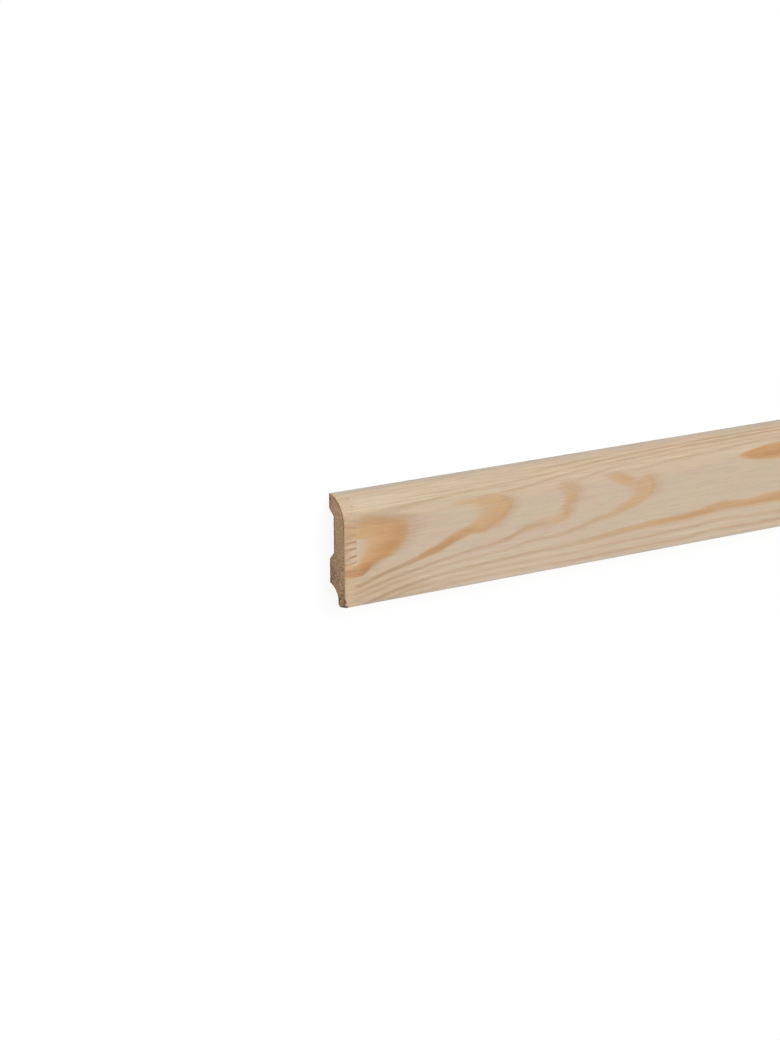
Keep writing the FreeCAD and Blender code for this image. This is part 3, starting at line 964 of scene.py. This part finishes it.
def planed_colour(f, at):
    """The colour of the planed wood and the stub, but for the finest fibres."""
    orange, brown = grain(f, at)
    colour = f.shades(orange, GRAIN_SHADES)
    sallow = f.ease(f.noise((8.0, 2.2, 2.2), at.spot, shift=43.0), 0.46, 0.66, 0.0, 0.4)
    middling = f.times(f.ease(orange, 0.2, 0.45), f.ease(orange, 0.55, 0.75, 1.0, 0.0))
    colour = f.tint(f.times(sallow, middling), colour, YELLOW_WOOD)
    plain = f.ease(orange, 0.0, 0.45, 1.0, 0.0)
    colour = ground_colour(f, at, plain, colour)
    dull = f.tint(f.ease(at.along, 20.0, 110.0), GREY_CAST, WARM_CAST)
    cast = f.tint(1.0, colour, dull, blend="MULTIPLY")
    return stub_colour(f, at, f.tint(brown, colour, cast))


def fine_shade(f, at, fibre, canals):
    """How light the fibres, streaks and resin canals leave the wood, as a share about 1."""
    mottle = f.noise((18.0, 2.6, 2.6), at.spot, detail=3.0, shift=2.0)
    streaks = f.noise((30.0, 0.75, 0.75), at.spot, detail=1.0, shift=29.0)
    grit = f.noise((1.6, 0.6, 0.6), at.spot, detail=1.0, shift=41.0)
    stub = f.times(f.ease(at.along, FINGER_TIP - 1, FINGER_TIP + 2, 0.9, 0.0), at.skin)
    lined = f.add(f.curve(at.up, STREAKS_BY_HEIGHT), stub)
    shade = f.add(f.spread(fibre, 0.955, 1.03, 0.25, 0.75), f.spread(mottle, -0.025, 0.025))
    shade = f.add(shade, f.times(f.spread(streaks, -0.06, 0.05), lined))
    shade = f.add(shade, f.spread(grit, -0.022, 0.022))
    bristle = f.curve(at.up, BRISTLE_BY_HEIGHT)
    shade = f.add(shade, f.times(f.spread(fibre, -0.07, 0.07), bristle))
    return f.less(shade, f.times(canals, CANAL_DARKNESS))


def pine():
    """Planed, bare pine."""
    f = Finish(bpy.data.materials.new("pine"))
    at = board_place(f)
    fibre = f.noise((45.0, 0.45, 0.45), at.spot, detail=3.0)
    canals = f.ease(f.noise((13.0, 0.34, 0.34), at.spot, detail=0.0, shift=53.0), 0.66, 0.74)
    shade = fine_shade(f, at, fibre, canals)
    grey = f.vector(shade, shade, shade)
    colour = f.tint(1.0, planed_colour(f, at), grey, blend="MULTIPLY")
    colour = corner_marks(f, at, torn_edge(f, at, colour))
    roughness = f.ease(fibre, 0.3, 0.7, 0.56, 0.68)
    height = f.less(f.times(fibre, FIBRE_HEIGHT), f.times(canals, CANAL_DEPTH))
    return f.wood(colour, roughness, height)


# The sawn ends: how rough they are and how far their speckles stand up, in mm. Then by height
# above the floor edge: how far in the wall side lies, how coarsely the saw has left the wood, and
# how dark the torn corner to the show face is. Each knock is a height, a depth from the back and
# a size.
SAWN_ROUGHNESS = 0.8
SPECKLE_HEIGHT = 0.12
BACK_BY_HEIGHT = ((0, 8.4), (0.6, 7.2), (2.2, 6.6), (5, 6.2), (8, 4.7), (10.4, 2.2), (11.4, 0),
                  (23.2, 0), (26.8, 3.5), (45.3, 3.5), (48.9, 0), (56, 0))
COARSE_BY_HEIGHT = ((0, 0.9), (14, 1.0), (26, 0.9), (31, 0.5), (46, 0.45), (50, 0.6), (56, 0.6))
SEAM_BY_HEIGHT = ((20, 0.12), (32, 0.3), (38, 0.5), (42, 0.75), (50, 0.7), (55, 0.4))
END_HIGH = rgb(194, 160, 125)
END_LOW = rgb(170, 137, 103)
END_DARK = rgb(112, 80, 54)
END_LIGHT = rgb(214, 182, 146)
# A painted shade along the back and foot outline of the sawn ends.
END_EDGE_SHADE = rgb(128, 106, 90)
SAW_MARKS = (40.4, 33.0, 29.4, 20.3, 12.6)
SAW_MARK_WIDTH = 0.22
END_KNOCKS = ((53.2, 1.2, 0.9), (18.2, 1.0, 0.6), (12.4, 0.6, 0.6))


def end_grain(f, at, coarse, speckle):
    """The sawn wood's colour, with its rings and the speckles that a coarse cut tears out."""
    colour = f.tint(f.ease(at.level, 4.0, 42.0), END_LOW, END_HIGH)
    colour = f.tint(f.times(ring_dark(f, at), 0.22), colour, END_DARK)
    dark = f.times(f.spread(speckle, 1.0, 0.0, 0.28, 0.5), coarse)
    light = f.times(f.spread(speckle, 0.0, 1.0, 0.5, 0.72), coarse)
    colour = f.tint(light, f.tint(dark, colour, END_DARK), END_LIGHT)
    cloud = f.noise((9.0, 2.4, 1.6), at.spot, detail=2.0, shift=8.0)
    return f.tint(f.ease(cloud, 0.34, 0.54, 0.2, 0.0), colour, END_DARK)


def saw_marks(f, at, colour):
    """The few deep lines that the saw's teeth left, and the fine combing between them."""
    wander = f.add(at.level, f.sway((9.0, 9.0, 3.0), at.spot, 0.25))
    marks = f.most([f.ease(f.sum("ABSOLUTE", f.less(wander, mark)), 0.0, SAW_MARK_WIDTH, 1.0, 0.0)
                    for mark in SAW_MARKS])
    combed = f.ease(f.noise((9.0, 0.28, 6.0), at.spot, detail=1.0, shift=4.0), 0.35, 0.65)
    return f.tint(f.add(f.times(marks, 0.28), f.times(combed, 0.12)), colour, END_DARK)


def end_edge_shade(f, at, colour):
    """A painted shade along the back and foot outline, and the dark torn corner to the show face."""
    inner = f.less(at.spot[2], f.curve(at.level, BACK_BY_HEIGHT))
    fray = f.sway((9.0, 1.1, 1.1), at.spot, 0.5, shift=6.0)
    # A painted shade along the back outline and the foot of the end.
    rim = f.ease(f.add(inner, fray), 0.1, 0.9, 0.75, 0.0)
    foot_shade = f.ease(f.add(at.level, fray), 0.3, 1.4, 0.9, 0.0)
    colour = f.tint(f.most([rim, foot_shade]), colour, END_EDGE_SHADE)
    seam = f.ease(f.add(at.below, fray), 0.1, 1.2, 1.0, 0.0)
    return f.tint(f.times(seam, f.curve(at.level, SEAM_BY_HEIGHT)), colour, END_DARK)


def end_wear(f, at, colour):
    """The knocks and the crack, which only the left end has."""
    left = f.ease(at.along, 100.0, 200.0, 1.0, 0.0)
    uneven = f.sway((9.0, 0.7, 0.7), at.spot, 0.45, shift=47.0)
    for height, depth, size in END_KNOCKS:
        off = f.away(f.less(at.level, height), f.less(at.spot[2], depth))
        knock = f.times(f.ease(f.add(off, uneven), size / 2, size, 0.8, 0.0), left)
        colour = f.tint(knock, colour, CORNER_BROWN)
    slant = f.add(f.times(f.less(at.spot[2], CRACK_START[1]), CRACK_SIDE[1]),
                  f.times(f.less(at.level, CRACK_START[0]), CRACK_SIDE[0]))
    crack = f.times(f.ease(f.sum("ABSOLUTE", f.add(slant, uneven)), 0.25, 0.7, 1.0, 0.0),
                    f.ease(at.level, CRACK_START[0] + 0.4, CRACK_START[0] + 3.6, 0.9, 0.0))
    return f.tint(f.times(crack, left), colour, CORNER_BROWN)


def sawn_pine():
    """End grain as the saw left it: smoother above, speckled below, with a painted shade along its back
    and foot outline.
    """
    f = Finish(bpy.data.materials.new("sawn_pine"))
    at = board_place(f)
    coarse = f.curve(at.level, COARSE_BY_HEIGHT)
    speckle = f.noise((9.0, 0.6, 1.0), at.spot, detail=4.0)
    colour = end_grain(f, at, coarse, speckle)
    for layer in (saw_marks, end_edge_shade, end_wear, corner_marks):
        colour = layer(f, at, colour)
    return f.wood(colour, SAWN_ROUGHNESS, f.times(speckle, coarse, SPECKLE_HEIGHT))


def seen_rays(f):
    """1 for the rays that look at a thing: the camera's own, mirrored ones, those through glass."""
    rays = f.node("LightPath")
    kinds = ("Is Camera Ray", "Is Glossy Ray", "Is Transmission Ray")
    return f.most([rays.outputs[kind] for kind in kinds])


def make_floor():
    """A pale floor under the board that is seen as white, but for a faint shadow."""
    half = FLOOR_SIZE / 2
    mesh = bpy.data.meshes.new("floor")
    mesh.from_pydata([(-half, -half, 0), (half, -half, 0), (half, half, 0), (-half, half, 0)],
                     [], [(0, 1, 2, 3)])
    floor = bpy.data.objects.new("floor", mesh)
    bpy.context.collection.objects.link(floor)
    f = Finish(bpy.data.materials.new("white_floor"))
    matt = f.node("BsdfDiffuse")
    matt.inputs["Color"].default_value = FLOOR_PAINT
    glow = f.node("Emission")
    glow.inputs["Strength"].default_value = FLOOR_GLOW
    mixed = f.node("MixShader")
    f.feed(mixed.inputs[0], f.times(seen_rays(f), FLOOR_WHITENESS))
    f.feed(mixed.inputs[1], matt.outputs[0])
    f.feed(mixed.inputs[2], glow.outputs[0])
    mesh.materials.append(f.end_in("OutputMaterial", mixed.outputs[0]))


def light_world():
    """A soft even surround that is seen as white."""
    world = bpy.data.worlds.new("studio")
    bpy.context.scene.world = world
    f = Finish(world)
    background = f.node("Background")
    background.inputs["Color"].default_value = (1.0, 1.0, 1.0, 1.0)
    strength = f.ease(seen_rays(f), 0.0, 1.0, SURROUND_LIGHT, 1.0, kind="LINEAR")
    f.feed(background.inputs["Strength"], strength)
    f.end_in("OutputWorld", background.outputs[0])


def add_light(name, towards, strength, spread):
    """A distant soft light that shines from the given side."""
    lamp = bpy.data.lights.new(name, "SUN")
    lamp.energy = strength
    lamp.angle = math.radians(spread)
    light = bpy.data.objects.new(name, lamp)
    light.rotation_mode = "QUATERNION"
    light.rotation_quaternion = Vector(towards).to_track_quat("Z", "Y")
    bpy.context.collection.objects.link(light)


def place_camera():
    """The photograph's camera, off the left end and looking down on the face."""
    turn, drop, roll = (math.radians(angle) for angle in (CAMERA_TURN, CAMERA_DROP, CAMERA_ROLL))
    right = Vector((math.cos(turn), 0.0, math.sin(turn)))
    level = Vector((math.sin(turn), 0.0, -math.cos(turn)))
    ahead = level * math.cos(drop) - Vector((0.0, math.sin(drop), 0.0))
    up = right.cross(ahead)
    rolled_right = right * math.cos(roll) + up * math.sin(roll)
    rolled_up = up * math.cos(roll) - right * math.sin(roll)
    lens = bpy.data.cameras.new("camera")
    lens.lens = LENS
    lens.sensor_width = SENSOR
    lens.clip_end = SIGHT
    camera = bpy.data.objects.new("camera", lens)
    axes = Matrix((rolled_right, rolled_up, -ahead)).transposed().to_4x4()
    left_end = Vector((LOW.x * MM, 0.0, 0.0))
    camera.matrix_world = Matrix.Translation(left_end + CAMERA_FROM_END) @ axes
    bpy.context.collection.objects.link(camera)
    bpy.context.scene.camera = camera


def main():
    board = make_board()
    board.data.materials.append(pine())
    board.data.materials.append(sawn_pine())
    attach(board, "root")
    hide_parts(NODE)
    make_floor()
    light_world()
    add_light("key", KEY_SIDE, KEY_STRENGTH, KEY_SPREAD)
    place_camera()
    bpy.context.scene.view_settings.view_transform = "Standard"


main()
